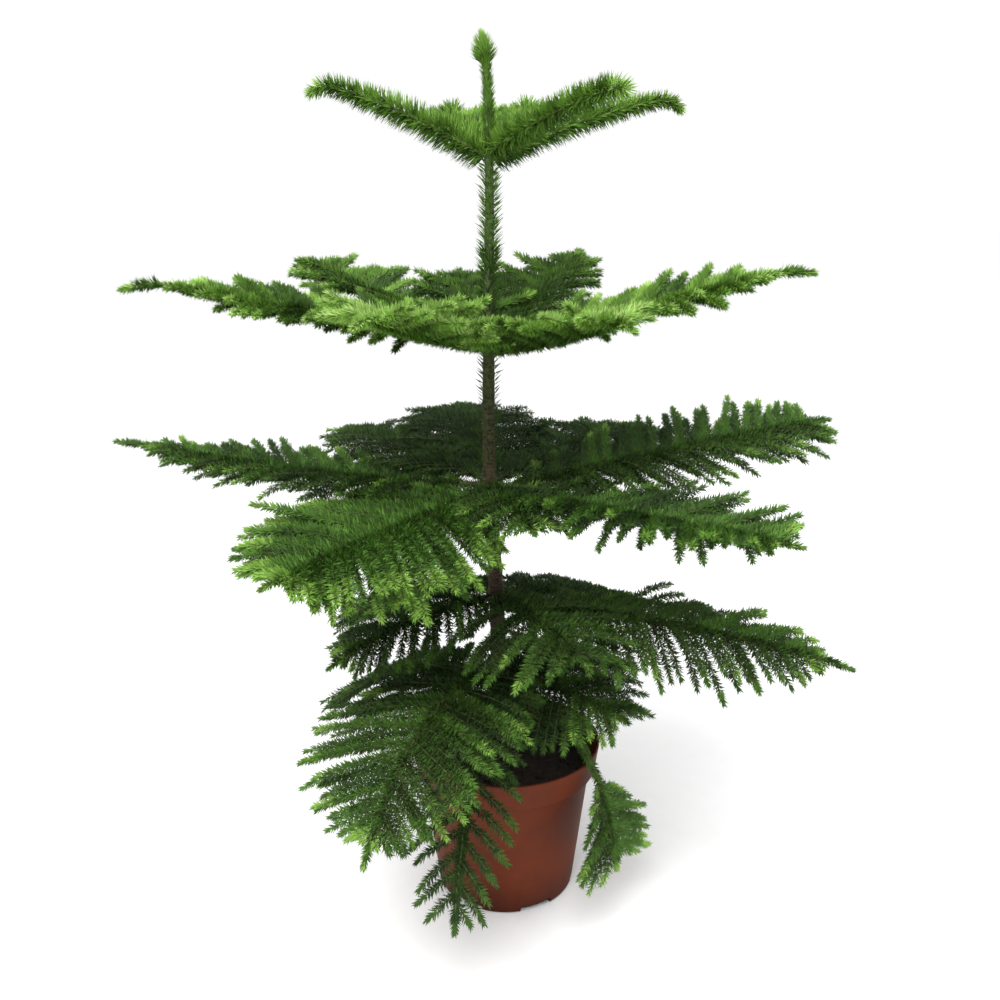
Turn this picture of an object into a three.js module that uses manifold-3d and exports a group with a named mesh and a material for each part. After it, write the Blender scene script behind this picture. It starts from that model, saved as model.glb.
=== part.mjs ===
// Norfolk Island pine in a terracotta-coloured plastic pot.
// Millimetres, Z up. The origin is the centre of the pot's flat underside, and -Y is the front.
import * as THREE from 'three';
import { mergeVertices } from 'three/addons/utils/BufferGeometryUtils.js';
import Module from 'manifold-3d';

const wasm = await Module();
wasm.setup();

// Gap between neighbouring pieces
const GAP = 0.3;

const POT = {
  height: 158,
  rimRadius: 95,
  collarHeight: 27,
  collarFootRadius: 91,
  shoulder: 4,
  neckRadius: 85,
  footRadius: 70,
  footRounding: 4,
  wall: 2.4,
  floor: 3,
  sides: 40,
};

// Drain openings in the corner between the pot's wall and floor
const DRAIN = { count: 6, width: 34, height: 7.5, corner: 4, depth: 10, turn: 296 };

const SOIL = { edgeHeight: 134, crownHeight: 137, crownRadius: 34 };

const TRUNK = {
  ground: SOIL.crownHeight + GAP,
  top: 790,
  baseRadius: 8.6,
  tipRadius: 2.4,
  taper: 0.85,
  flare: 3.6,
  flareHeight: 14,
  sides: 9,
  stations: 16,
  crowding: 1.6,
};

// Sideways lean of the trunk: height, then distance from the pot's axis
const LEAN = [
  [137, -4],
  [311, -9.5],
  [433, -16],
  [556, -16.5],
  [720, -15.7],
  [790, -18],
  [822, -22.5],
];

// The tuft of young needles at the top of the leading shoot
const LEADER = { top: 813, radius: 3.4, needles: 18, needle: 17, lean: 38, tuftStart: 0.12, tuftEnd: 0.95 };

// Needles that stand out of a shoot, up to a share of its length
const NEEDLE = { radius: 1.5, lean: 58, jitter: 20, end: 0.98 };
// Side shoots are blades whose teeth are tufts of needles
const BLADE = { halfWidth: 10.5, ridge: 3.6 };
// Along a blade from its sunk root: share of its length, then share of its full width
const BLADE_TEETH = [
  [0, 0],
  [0.3, 1],
  [0.36, 0.55],
  [0.7, 0.95],
  [1, 0],
];

// Side shoots leave the branch at the first angle near the trunk and at the second near its tip
const SHOOT_ANGLE = { inner: 75, outer: 46, jitter: 5 };
const SHOOT_STEPS = 4;
const SHOOT_SPACING = 39;
const LENGTH_JITTER = 0.1;
// How pointed a frond's outline is towards the trunk: 0 is square, 1 runs to a point
const INNER_POINT = 0.55;
// Where the shoots of the two sides stand between one pair and the next
const PAIR_SHARES = new Map([[1, 0.35], [-1, 0.65]]);
// Where a full side shoot has no room, a shorter one is tried: shares of its length
const SHORTER = [1, 0.75, 0.5];

const AXIS_STEPS = 24;
const NOD_START = 0.88;
const GOLDEN_ANGLE = 137.5;
// Shares of a branch where its stem may bend, closer together in the tip that nods
const STEM_STATIONS = [0.28, 0.4, 0.52, 0.64, 0.74, 0.82, 0.88, 0.92, 0.96];
// Share of a branch over which its stem swells into the core of its plume
const SWELL = 0.01;

// The whorls of branches from the top down. Angles are in degrees, turns run anticlockwise from +X.
// rise and dip: slope of a branch at the trunk and at its tip. bend: how late it changes.
// nod: extra droop of the very tip. limb: share of the length that is bare bough.
// plume: share of the length where side shoots end and needles stand on the branch itself.
// reach: the longest side shoot, between the limb and the plume.
// point: how pointed the frond is towards its tip, 0 square and 1 a point.
// splay: where given, the angle at which the last side shoots leave the branch.
// core: radius of the plume without its needles. needles and needle: how many it has, and their length.
// stem: radius of the branch at the trunk.
// lift and sag: how far side shoots stand up from the frond, and droop. roll: tilt of the frond.
const WHORLS = [
  {
    name: 'top', height: 720, length: 160, rise: 24, dip: 14, bend: 1, nod: -55, roll: 0,
    stem: 2.2, limb: 0, reach: 0, point: 0, lift: 0, sag: 0, plume: 0.14, core: 5, needles: 22, needle: 17,
    branches: [
      { turn: 14, length: 188, rise: 27, dip: 9 },
      { turn: 112, length: 124, rise: 36, dip: 6, nod: -20, reach: 58, point: 0.3, plume: 0.75, needles: 8 },
      { turn: 186, length: 163, rise: 31, needle: 20 },
      { turn: 313, length: 156, rise: 22, dip: 9, nod: -20 },
      {
        turn: 66, height: 726, length: 112, rise: 34, dip: 10, nod: -20,
        reach: 40, point: 0.3, plume: 0.75, needles: 8,
      },
    ],
  },
  {
    name: 'upper', height: 560, length: 288, rise: 14, dip: 15, bend: 1, nod: -50, roll: 0,
    stem: 2.1, limb: 0.17, reach: 66, point: 1, lift: 0.22, sag: 0.3,
    plume: 0.9, core: 3.5, needles: 7, needle: 12,
    branches: [
      { turn: 357, length: 296, nod: -25, reach: 64, roll: -10 },
      { turn: 66, length: 270, rise: 18 },
      { turn: 137, nod: -30, reach: 70, point: 0.6, splay: 58 },
      { turn: 191, length: 318, rise: 7, dip: 14, nod: -35, reach: 64, point: 1.1, roll: 10 },
      {
        turn: 241, height: 554, length: 206, rise: 8, dip: 18,
        reach: 78, point: 0.6, splay: 58, lift: 0.35,
      },
      {
        turn: 304, height: 551, length: 204, rise: 8, dip: 18,
        reach: 76, point: 0.7, splay: 56, lift: 0.35,
      },
      { turn: 101, height: 567, length: 200, limb: 0 },
    ],
  },
  {
    name: 'middle', height: 424, length: 310, rise: 8, dip: -4, bend: 1, nod: -8, roll: 0,
    stem: 2.5, limb: 0.16, reach: 98, point: 0.85, lift: 0.1, sag: 0.4,
    plume: 0.93, core: 2.5, needles: 5, needle: 12,
    branches: [
      { turn: 13, length: 355, rise: 10, dip: 8, reach: 80, point: 0.4, splay: 60, sag: 0.25, roll: -7 },
      { turn: 52, length: 290, rise: 9 },
      { turn: 98, length: 320, rise: 13 },
      { turn: 128, length: 276, reach: 84 },
      { turn: 175, length: 366, rise: 1, dip: 11, reach: 74, point: 0.95, sag: 0.2, roll: 2 },
      { turn: 232, length: 276, rise: -3, dip: -4, reach: 108, point: 0.75, roll: 7 },
      { turn: 286, length: 140, rise: 2, dip: -8, reach: 58 },
      { turn: 323, length: 305, rise: -1, dip: 2, reach: 86, point: 0.5, splay: 60, sag: 0.1, roll: 3 },
    ],
  },
  {
    name: 'lower', height: 313, length: 260, rise: -5, dip: -40, bend: 1, nod: -8, roll: 0,
    stem: 2.6, limb: 0.17, reach: 98, point: 0.85, lift: 0.1, sag: 0.5,
    plume: 0.93, core: 2.5, needles: 5, needle: 12,
    branches: [
      { turn: 50, dip: -30, reach: 74 },
      { turn: 130 },
      { turn: 208, length: 180, rise: 4, dip: -28, reach: 70 },
      { turn: 302, length: 150, rise: 0, dip: -15 },
      {
        turn: 341, height: 299, length: 334, rise: 11, dip: -10, bend: 0.6,
        reach: 86, point: 0.8, sag: 0.6, roll: -9,
      },
    ],
  },
  {
    name: 'skirt', height: 222, length: 230, rise: 6, dip: -34, bend: 1, nod: 0, roll: 0,
    stem: 2.7, limb: 0.17, reach: 92, point: 0.7, lift: 0.1, sag: 0.5,
    plume: 0.93, core: 2.5, needles: 5, needle: 12,
    branches: [
      { turn: 55, length: 210 },
      { turn: 148, length: 212, dip: -44 },
      {
        turn: 242, height: 228, length: 276, rise: 28, dip: -62,
        reach: 106, point: 0.8, splay: 58, sag: 0.25, roll: -8,
      },
      { turn: 260, height: 216, length: 276, rise: 16, dip: -74, reach: 54, point: 0.4 },
      {
        turn: 328, length: 240, rise: 24, dip: -88, bend: 0.5,
        limb: 0.62, reach: 60, point: 0.3, splay: 80, roll: -8,
      },
      { turn: 322, height: 236, length: 150, rise: 2, dip: -12, reach: 82 },
    ],
  },
];

// Branches of one whorl leave the trunk up to this far above and below its height, no two at the same one
const STAGGER = 5;
const GOLDEN_RATIO = 0.618;

const MATERIALS = {
  pot: new THREE.MeshStandardMaterial({ color: 0x8a5446, roughness: 0.6, metalness: 0 }),
  soil: new THREE.MeshStandardMaterial({ color: 0x2b211a, roughness: 1, metalness: 0 }),
  bark: new THREE.MeshStandardMaterial({ color: 0x6d5237, roughness: 0.9, metalness: 0 }),
  needles: new THREE.MeshStandardMaterial({ color: 0x5f7f3c, roughness: 0.7, metalness: 0 }),
};

const UP = new THREE.Vector3(0, 0, 1);
const radians = THREE.MathUtils.degToRad;
const clamp = THREE.MathUtils.clamp;
const lerp = THREE.MathUtils.lerp;

// Repeatable random numbers from 0 to 1
function seededRandom(seed) {
  let state = seed;
  return () => {
    state = (state + 0x6d2b79f5) | 0;
    let mixed = Math.imul(state ^ (state >>> 15), 1 | state);
    mixed = (mixed + Math.imul(mixed ^ (mixed >>> 7), 61 | mixed)) ^ mixed;
    return ((mixed ^ (mixed >>> 14)) >>> 0) / 2 ** 32;
  };
}

// Sum of the vectors in pairs of [vector, weight]
function blend(...terms) {
  const sum = new THREE.Vector3();
  for (const [vector, weight] of terms) sum.addScaledVector(vector, weight);
  return sum;
}

// Closed skin over a row of rings. A first or last ring of one point closes the skin to a tip.
function loft(rings) {
  const positions = rings.flat().flatMap((point) => point.toArray());
  const index = [];
  let first = 0;
  for (let r = 0; r + 1 < rings.length; r += 1) {
    const here = rings[r].length;
    const there = rings[r + 1].length;
    const next = first + here;
    const sides = Math.max(here, there);
    for (let i = 0; i < sides; i += 1) {
      const j = (i + 1) % sides;
      if (there > 1) index.push(first + (i % here), next + i, next + j);
      if (here > 1) index.push(first + i, next + (j % there), first + j);
    }
    first = next;
  }
  const last = rings.at(-1).length;
  for (let i = 1; i + 1 < rings[0].length; i += 1) index.push(0, i, i + 1);
  for (let i = 1; i + 1 < last; i += 1) index.push(first, first + i + 1, first + i);
  const geometry = new THREE.BufferGeometry();
  geometry.setAttribute('position', new THREE.Float32BufferAttribute(positions, 3));
  geometry.setIndex(index);
  return geometry;
}

// The solid inside a closed geometry, once points that coincide are one and flat triangles are gone
function solidOf(geometry) {
  const bare = new THREE.BufferGeometry();
  bare.setAttribute('position', geometry.getAttribute('position'));
  bare.setIndex(geometry.index);
  const welded = mergeVertices(bare, 1e-4);
  const corners = welded.index.array;
  const triVerts = [];
  for (let i = 0; i < corners.length; i += 3) {
    const [a, b, c] = corners.slice(i, i + 3);
    if (a !== b && b !== c && c !== a) triVerts.push(a, b, c);
  }
  return new wasm.Manifold(new wasm.Mesh({
    numProp: 3,
    vertProperties: new Float32Array(welded.getAttribute('position').array),
    triVerts: new Uint32Array(triVerts),
  }));
}

function meshOf(name, solid, material) {
  const { vertProperties, triVerts } = solid.getMesh();
  const geometry = new THREE.BufferGeometry();
  geometry.setAttribute('position', new THREE.BufferAttribute(vertProperties, 3));
  geometry.setIndex(new THREE.BufferAttribute(triVerts, 1));
  geometry.computeVertexNormals();
  const mesh = new THREE.Mesh(geometry, material);
  mesh.name = name;
  return mesh;
}

// Solid of revolution about Z from pairs of [radius, height], from the underside round to the top
function turned(profile, sides) {
  const points = profile.map(([radius, height]) => new THREE.Vector2(radius, height));
  return solidOf(new THREE.LatheGeometry(points, sides).rotateX(Math.PI / 2));
}

// Pot: a tapering wall with a wider collar at the rim, a flat floor and drain openings round its foot
const collarFoot = POT.height - POT.collarHeight;
const neck = collarFoot - POT.shoulder;

function makePot() {
  const step = POT.wall / 2;
  const inner = (radius) => radius - POT.wall;
  const wall = turned([
    [0, 0],
    [POT.footRadius - POT.footRounding, 0],
    [POT.footRadius - POT.footRounding / 3, POT.footRounding / 3],
    [POT.footRadius, POT.footRounding],
    [POT.neckRadius, neck],
    [POT.collarFootRadius, collarFoot],
    [POT.rimRadius, POT.height - step],
    [POT.rimRadius - step, POT.height],
    [inner(POT.rimRadius), POT.height - step],
    [inner(POT.collarFootRadius), collarFoot + step],
    [inner(POT.neckRadius), neck + step],
    [inner(POT.footRadius), POT.floor],
    [0, POT.floor],
  ], POT.sides);
  const half = DRAIN.width / 2;
  const rise = DRAIN.height - DRAIN.corner;
  const opening = new THREE.Shape();
  opening.moveTo(-half, -DRAIN.height);
  opening.lineTo(half, -DRAIN.height);
  opening.lineTo(half, rise);
  opening.absarc(half - DRAIN.corner, rise, DRAIN.corner, 0, Math.PI / 2);
  opening.absarc(DRAIN.corner - half, rise, DRAIN.corner, Math.PI / 2, Math.PI);
  const cut = { depth: 2 * DRAIN.depth, curveSegments: 2, bevelEnabled: false };
  let pot = wall;
  for (let i = 0; i < DRAIN.count; i += 1) {
    const drain = new THREE.ExtrudeGeometry(opening, cut)
      .rotateX(Math.PI / 2)
      .translate(0, DRAIN.depth - POT.footRadius, 0)
      .rotateZ(radians(DRAIN.turn - 270 + (360 * i) / DRAIN.count));
    pot = pot.subtract(solidOf(drain));
  }
  return pot;
}

// Soil: fills the pot, with a low crown under the trunk
function makeSoil() {
  const beside = (radius) => radius - POT.wall - 2 * GAP;
  return turned([
    [0, POT.floor + GAP],
    [beside(POT.footRadius), POT.floor + GAP],
    [beside(POT.neckRadius), neck + POT.wall / 2],
    [beside(POT.collarFootRadius), SOIL.edgeHeight],
    [SOIL.crownRadius, SOIL.crownHeight],
    [0, SOIL.crownHeight],
  ], POT.sides);
}

const leanKnots = LEAN.map(([height, lean]) => new THREE.Vector3(lean, 0, height));
const leanPoints = new THREE.CatmullRomCurve3(leanKnots).getPoints(120);

// Point on the trunk's centre line at a height
function trunkCentre(height) {
  const above = Math.max(1, leanPoints.findIndex((point) => point.z >= height));
  const low = leanPoints[above - 1];
  const high = leanPoints[above];
  return low.clone().lerp(high, (height - low.z) / (high.z - low.z));
}

function trunkRadius(height) {
  const share = (TRUNK.top - height) / (TRUNK.top - TRUNK.ground);
  const flare = TRUNK.flare * Math.exp((TRUNK.ground - height) / TRUNK.flareHeight);
  return lerp(TRUNK.tipRadius, TRUNK.baseRadius, share ** TRUNK.taper) + flare;
}

// Trunk, or the same shape swollen by a margin. Its stations crowd together in the root flare.
function makeTrunk(margin) {
  const rings = [];
  for (let i = 0; i <= TRUNK.stations; i += 1) {
    const height = lerp(TRUNK.ground, TRUNK.top, (i / TRUNK.stations) ** TRUNK.crowding);
    const centre = trunkCentre(height);
    const radius = trunkRadius(height) + margin;
    rings.push(Array.from({ length: TRUNK.sides }, (_, k) => {
      const angle = (-2 * Math.PI * k) / TRUNK.sides;
      return new THREE.Vector3(Math.cos(angle), Math.sin(angle), 0).multiplyScalar(radius).add(centre);
    }));
  }
  return solidOf(loft(rings));
}

// Centre line of a branch, from the middle of the trunk to the tip
function branchAxis(branch) {
  const points = [trunkCentre(branch.height)];
  for (let i = 0; i < AXIS_STEPS; i += 1) {
    const s = (i + 0.5) / AXIS_STEPS;
    const nod = branch.nod * clamp((s - NOD_START) / (1 - NOD_START), 0, 1);
    const slope = radians(lerp(branch.rise, branch.dip, s ** branch.bend) + nod);
    const flat = Math.cos(slope);
    const turn = radians(branch.turn);
    const heading = new THREE.Vector3(flat * Math.cos(turn), flat * Math.sin(turn), Math.sin(slope));
    points.push(blend([points.at(-1), 1], [heading, branch.length / AXIS_STEPS]));
  }
  return points;
}

// Place and directions at a share of a line's length: along it, across it, and up out of its frond
function frameAt(points, share, roll = 0) {
  const place = clamp(share, 0, 1) * (points.length - 1);
  const before = Math.min(Math.floor(place), points.length - 2);
  const origin = points[before].clone().lerp(points[before + 1], place - before);
  const along = points[before + 1].clone().sub(points[before]).normalize();
  const level = new THREE.Vector3().crossVectors(along, UP).normalize();
  const upright = new THREE.Vector3().crossVectors(level, along);
  const tilt = radians(roll);
  const across = blend([level, Math.cos(tilt)], [upright, Math.sin(tilt)]);
  const up = blend([upright, Math.cos(tilt)], [level, -Math.sin(tilt)]);
  return { origin, along, across, up };
}

// Ring of points round a line, with one of them uppermost
function ringAt(frame, radius, sides) {
  return Array.from({ length: sides }, (_, k) => {
    const angle = Math.PI / 2 + (2 * Math.PI * k) / sides;
    const out = blend([frame.across, Math.cos(angle)], [frame.up, Math.sin(angle)]);
    return blend([frame.origin, 1], [out, radius]);
  });
}

// Radius of a branch at a share of its length, which tapers by half: its stem, and the core of its plume
const stemRadius = (branch, share) => branch.stem * (1 - share / 2);
const coreRadius = (branch, share) => branch.core * (1 - (share - branch.plume) / 2);

// Bough: the bare limb between the trunk and the frond, cut clear of the trunk
function makeBough(branch, axis, swollenTrunk) {
  const shares = [0, ...STEM_STATIONS.filter((share) => share < branch.limb), branch.limb];
  const rings = shares.map((share) => ringAt(frameAt(axis, share), stemRadius(branch, share), 5));
  return solidOf(loft(rings)).subtract(swollenTrunk);
}

// Stem of a frond, from the end of its bough, or from the trunk where it has none, to a pointed tip
function makeStem(branch, axis, swollenTrunk) {
  const start = branch.limb > 0 ? branch.limb + GAP / branch.length : 0;
  const swollen = branch.plume + SWELL;
  const between = STEM_STATIONS.filter((share) => share > start + SWELL && share < branch.plume);
  const slim = [start, ...between, branch.plume];
  const thick = [swollen, ...STEM_STATIONS.filter((share) => share > swollen + SWELL)];
  const ring = (share, radius) => ringAt(frameAt(axis, share, branch.roll), radius, 3);
  const rings = [
    ...slim.map((share) => ring(share, stemRadius(branch, share))),
    ...thick.map((share) => ring(share, coreRadius(branch, share))),
    [axis.at(-1)],
  ];
  return solidOf(loft(rings)).subtract(swollenTrunk);
}

// A needle from the middle of its shoot to a point
function makeNeedle(frame, angle, length, lean) {
  const out = blend([frame.across, Math.cos(angle)], [frame.up, Math.sin(angle)]);
  const heading = blend([frame.along, Math.cos(lean)], [out, Math.sin(lean)]);
  const tip = blend([frame.origin, 1], [heading, length]);
  const across = new THREE.Vector3().crossVectors(heading, out).normalize();
  const up = new THREE.Vector3().crossVectors(across, heading);
  const root = ringAt({ origin: frame.origin, across, up }, NEEDLE.radius, 3);
  return solidOf(loft([root, [tip]]));
}

// Needles in a spiral round a stretch of shoot
function makeBrush(points, roll, start, end, count, length, leanAngle, random) {
  return Array.from({ length: count }, (_, i) => {
    const frame = frameAt(points, lerp(start, end, (i + 0.5) / count), roll);
    const angle = radians(GOLDEN_ANGLE * i + NEEDLE.jitter * random());
    return makeNeedle(frame, angle, length * (1 - LENGTH_JITTER * random()), radians(leanAngle));
  });
}

// Share of the longest side shoot that a shoot has part of the way along its frond
function frondOutline(t, point) {
  const widest = INNER_POINT / (INNER_POINT + point);
  return (t / widest) ** INNER_POINT * ((1 - t) / (1 - widest)) ** point;
}

// Centre line of a side shoot, which leaves the branch forwards and droops
function shootAxis(branch, axis, t, side, random) {
  const frame = frameAt(axis, lerp(branch.limb, branch.plume, t), branch.roll);
  const jitter = () => 2 * random() - 1;
  const outer = branch.splay ?? SHOOT_ANGLE.outer;
  const angle = radians(lerp(SHOOT_ANGLE.inner, outer, t) + SHOOT_ANGLE.jitter * jitter());
  const length = branch.reach * frondOutline(t, branch.point) * (1 + LENGTH_JITTER * jitter());
  const points = [frame.origin];
  for (let i = 0; i < SHOOT_STEPS; i += 1) {
    const droop = (branch.sag * (i + 0.5)) / SHOOT_STEPS;
    const heading = blend(
      [frame.along, Math.cos(angle)],
      [frame.across, side * Math.sin(angle)],
      [frame.up, branch.lift],
      [UP, -droop],
    ).normalize();
    points.push(blend([points.at(-1), 1], [heading, length / SHOOT_STEPS]));
  }
  return { points, up: frame.up };
}

// Side shoot with its needles, or its inner part: a ridged blade with two pairs of teeth, and a point
function makeBlade({ points, up }, part) {
  const rings = BLADE_TEETH.map(([share, width]) => {
    const { origin, along } = frameAt(points, share * part);
    if (width === 0) return [origin];
    const across = new THREE.Vector3().crossVectors(along, up).normalize();
    return [
      blend([origin, 1], [across, BLADE.halfWidth * width]),
      blend([origin, 1], [up, BLADE.ridge * width]),
      blend([origin, 1], [across, -BLADE.halfWidth * width]),
    ];
  });
  return solidOf(loft(rings));
}

// Whether a solid keeps its distance from every other one
function standsClear(solid, others) {
  const { min, max } = solid.boundingBox();
  return others.every((other) => {
    const box = other.boundingBox();
    const apart = [0, 1, 2].some((k) => box.min[k] > max[k] + 1 || box.max[k] < min[k] - 1);
    return apart || solid.minGap(other, 1) >= GAP;
  });
}

const plant = new THREE.Group();
const trunk = makeTrunk(0);
const swollenTrunk = makeTrunk(GAP);
const pot = makePot();
const soil = makeSoil();

// Every branch with its whorl's habit and its own differences
const branches = WHORLS.flatMap(({ branches: own, ...habit }) => own.map((differences, i) => ({
  ...habit,
  height: habit.height + STAGGER * (2 * ((i * GOLDEN_RATIO) % 1) - 1),
  ...differences,
  number: i + 1,
  seed: habit.height + i,
})));

// Limbs first, then the stems of all the fronds
const limbs = [pot, soil, trunk];
for (const branch of branches) {
  branch.axis = branchAxis(branch);
  branch.random = seededRandom(branch.seed);
  branch.spray = makeStem(branch, branch.axis, swollenTrunk);
  if (branch.limb > 0) {
    branch.bough = makeBough(branch, branch.axis, swollenTrunk);
    limbs.push(branch.bough);
  }
}

// The first of some shoots that is clear of the limbs, the other fronds and the ground joins its frond
function grow(branch, shoots) {
  const others = branches.filter((other) => other !== branch).map((other) => other.spray);
  const obstacles = [...limbs, ...others];
  const shoot = shoots.find((one) => one.boundingBox().min[2] > 1 && standsClear(one, obstacles));
  if (shoot) branch.spray = branch.spray.add(shoot);
}

// Every frond gets its first pair of side shoots, then its second, so that they share the space evenly
for (const branch of branches) {
  const leafy = branch.length * (branch.plume - branch.limb);
  branch.shoots = branch.reach > 0 ? Math.round(leafy / SHOOT_SPACING) : 0;
}
const mostShoots = Math.max(...branches.map(({ shoots }) => shoots));
for (let i = 0; i < mostShoots; i += 1) {
  for (const branch of branches.filter(({ shoots }) => i < shoots)) {
    for (const [side, share] of PAIR_SHARES) {
      const t = (i + share) / branch.shoots;
      const shoot = shootAxis(branch, branch.axis, t, side, branch.random);
      grow(branch, SHORTER.map((part) => makeBlade(shoot, part)));
    }
  }
}
for (const branch of branches) {
  const { axis, roll, plume, needles, needle, random } = branch;
  for (const one of makeBrush(axis, roll, plume, NEEDLE.end, needles, needle, NEEDLE.lean, random)) {
    grow(branch, [one]);
  }
}

// Leader tuft: a short shoot that carries on from the trunk, in a sheaf of needles
function makeLeader() {
  const points = [0, 0.25, 0.5, 0.75, 1].map((t) => trunkCentre(lerp(TRUNK.top + 2 * GAP, LEADER.top, t)));
  const rings = points.map((_, i) => ringAt(frameAt(points, i / 4), LEADER.radius * (1 - i / 5), 5));
  const random = seededRandom(LEADER.top);
  const { needles, needle, lean, tuftStart, tuftEnd } = LEADER;
  const sheaf = makeBrush(points, 0, tuftStart, tuftEnd, needles, needle, lean, random);
  return sheaf.reduce((tuft, one) => tuft.add(one), solidOf(loft(rings)));
}

plant.add(meshOf('pot', pot, MATERIALS.pot));
plant.add(meshOf('soil', soil, MATERIALS.soil));
plant.add(meshOf('trunk', trunk, MATERIALS.bark));
plant.add(meshOf('leader_tuft', makeLeader(), MATERIALS.needles));
for (const { name, number, bough, spray } of branches) {
  if (bough) plant.add(meshOf(`${name}_bough_${number}`, bough, MATERIALS.bark));
  plant.add(meshOf(`${name}_spray_${number}`, spray, MATERIALS.needles));
}

export default plant;
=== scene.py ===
# Norfolk Island pine in a terracotta-coloured plastic pot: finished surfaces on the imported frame.
# Sizes are millimetres in the plant's own frame. The pot's underside is at the origin, -Y is the front.
import math

import bpy
import numpy as np
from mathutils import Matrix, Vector, noise


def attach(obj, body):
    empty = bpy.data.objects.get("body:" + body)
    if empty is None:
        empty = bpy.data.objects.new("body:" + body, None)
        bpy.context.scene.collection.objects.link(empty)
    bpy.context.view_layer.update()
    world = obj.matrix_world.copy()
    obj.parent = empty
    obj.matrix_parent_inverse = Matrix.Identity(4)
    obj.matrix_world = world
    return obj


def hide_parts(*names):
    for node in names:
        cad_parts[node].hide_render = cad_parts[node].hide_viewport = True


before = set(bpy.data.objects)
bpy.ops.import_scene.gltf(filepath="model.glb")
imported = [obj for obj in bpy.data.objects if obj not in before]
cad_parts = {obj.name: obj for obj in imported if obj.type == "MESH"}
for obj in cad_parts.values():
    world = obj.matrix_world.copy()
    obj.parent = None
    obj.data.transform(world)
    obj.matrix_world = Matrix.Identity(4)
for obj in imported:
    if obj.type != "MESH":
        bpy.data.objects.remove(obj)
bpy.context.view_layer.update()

MM = 0.001
UP = np.array([0.0, 0.0, 1.0])
BACK = np.array([0.0, 1.0, 0.0])
GOLDEN_ANGLE = 137.5
GOLDEN_RATIO = 0.618
SEEDS = dict(soil=11, trunk=23, leader=7)

POT = dict(
    height=158, rim_radius=95, collar_height=27, collar_foot_radius=91, shoulder=4, neck_radius=85,
    foot_radius=70, foot_rounding=4, neck_fillet=2.4, collar_rounding=1.2, wall=2.4, floor=3, sides=160,
)
# Rings of the pot's wall and collar: how many, and the shares of its height where they start and end
WALL_RINGS = dict(count=14, start=0.06, end=0.97)
COLLAR_RINGS = dict(count=5, start=0.12, end=0.9)
# Radius of the smallest ring of the pot, round its axis
AXIS_RING = 0.01
# Edges of the pot that turn by more than this angle are sharp
SHARP_EDGE = 40
DRAIN = dict(count=6, width=34, height=7.5, corner=4, depth=10, turn=296)

SOIL = dict(
    edge_height=134, crown_height=137, crown_radius=34, gap=0.6, lump=1.6,
    inner_ring=0.5, rings=30, sides=110,
)
# Loose crumbs, from least to least + 1 times their size. spread: how far out they lie.
CRUMB = dict(count=220, size=1.9, least=0.4, spread=0.97, rough=0.18, sides=6)
CRUMB_PROFILE = [(0.55, -0.8), (1.0, -0.1), (0.75, 0.6)]
# Fractal relief. upright: how much finer it is up and down than across.
SOIL_RELIEF = dict(scale=0.12, increment=0.8, lacunarity=2.1, octaves=4)
BARK_RELIEF = dict(scale=0.22, upright=1.8, increment=0.7, lacunarity=2.2, octaves=4)

TRUNK = dict(
    ground=137.3, top=790, base_radius=8.6, tip_radius=2.4, taper=0.85, flare=3.6, flare_height=14,
    sides=32, station=2.5, sunk=3, swell=0.16, swell_height=7,
)
# Sideways lean of the trunk: height, then distance from the pot's axis
LEAN = [(137, -4), (311, -9.5), (433, -16), (556, -16.5), (720, -15.7), (790, -18), (822, -22.5)]
BUTTRESS = dict(count=5, height=18, depth=0.9)
# The trunk's old, scaly bark fades upwards, and bases of shed needles stand out where it has faded.
# fade: the height over which it goes. least: the share of it that stays.
# bases_from: the share of it that would hide the bases.
BARK = dict(scales=0.55, old_top=520, fade=160, least=0.15, bases=0.6, bases_from=1.1)
# Bases of shed needles: rows of them round a stem, and the length from one to the next
TRUNK_BASES = dict(rows=8, pitch=7)
BOUGH_BASES = dict(rows=3, pitch=5)

# Stretches of trunk that keep their needles: lowest and highest place, needles on a millimetre,
# their length, their lean and their tone
TRUNK_NEEDLES = [
    (440, 560, 2.0, 12, 50, "shade"),
    (556, 640, 4.0, 14, 48, "shade"),
    (620, 722, 4.0, 14, 48, "leaf"),
    (722, 794, 6.5, 9, 36, "leaf"),
]
TRUNK_NEEDLE = dict(sunk=0.6, spiral_jitter=20, lean_jitter=7, length_jitter=0.2)

# The leading shoot: its stem, then the tuft of needles round its bud.
# lean_bias: below 1, so that most needles lean far. closing: how late the tuft closes up.
LEADER = dict(
    radius=2.3, tip_radius=1, top=809, sunk=1, rings=8, sides=8, tuft_foot=791, tuft_top=806, needles=520,
    needle=18, length_jitter=0.2, lean=54, least_lean=4, lean_bias=0.4, closing=4, fresh_from=0.3,
)

# Side shoots leave the branch at the first angle near the trunk and at the second near its tip
SHOOT_ANGLE = dict(inner=75, outer=46, jitter=5)
SHOOT_STEPS = 6
LENGTH_JITTER = 0.1
# How far the lift and sag of side shoots differ
SCATTER = 0.15
# How pointed a frond's outline is towards the trunk: 0 is square, 1 runs to a point
INNER_POINT = 0.55
# Where the shoots of the two sides stand between one pair and the next
PAIR_SHARES = {1: 0.25, -1: 0.75}
# Share of a bough that is bare of side shoots
BARE = 0.45
# How near side shoots and the tips of needles come to the pot, the soil, the trunk and the floor
CLEARANCE = dict(shoot=2.0, needle=0.3)
# The fewest points of a side shoot that has room to grow
LEAST_POINTS = 3
AXIS_STEPS = 24
NOD_START = 0.88
# Branches of one whorl leave the trunk up to this far above and below its height
STAGGER = 5
# run_out: the share of a branch's length where it would taper to nothing
BOUGH = dict(rings=26, sides=12, run_out=2, overlap=0.01, root_swelling=1.6, root_length=9, bases=0.3)
STEM = dict(sides=6, run_out=1.6)
TWIG = dict(root=0.95, tip=0.5, sides=4)

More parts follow.
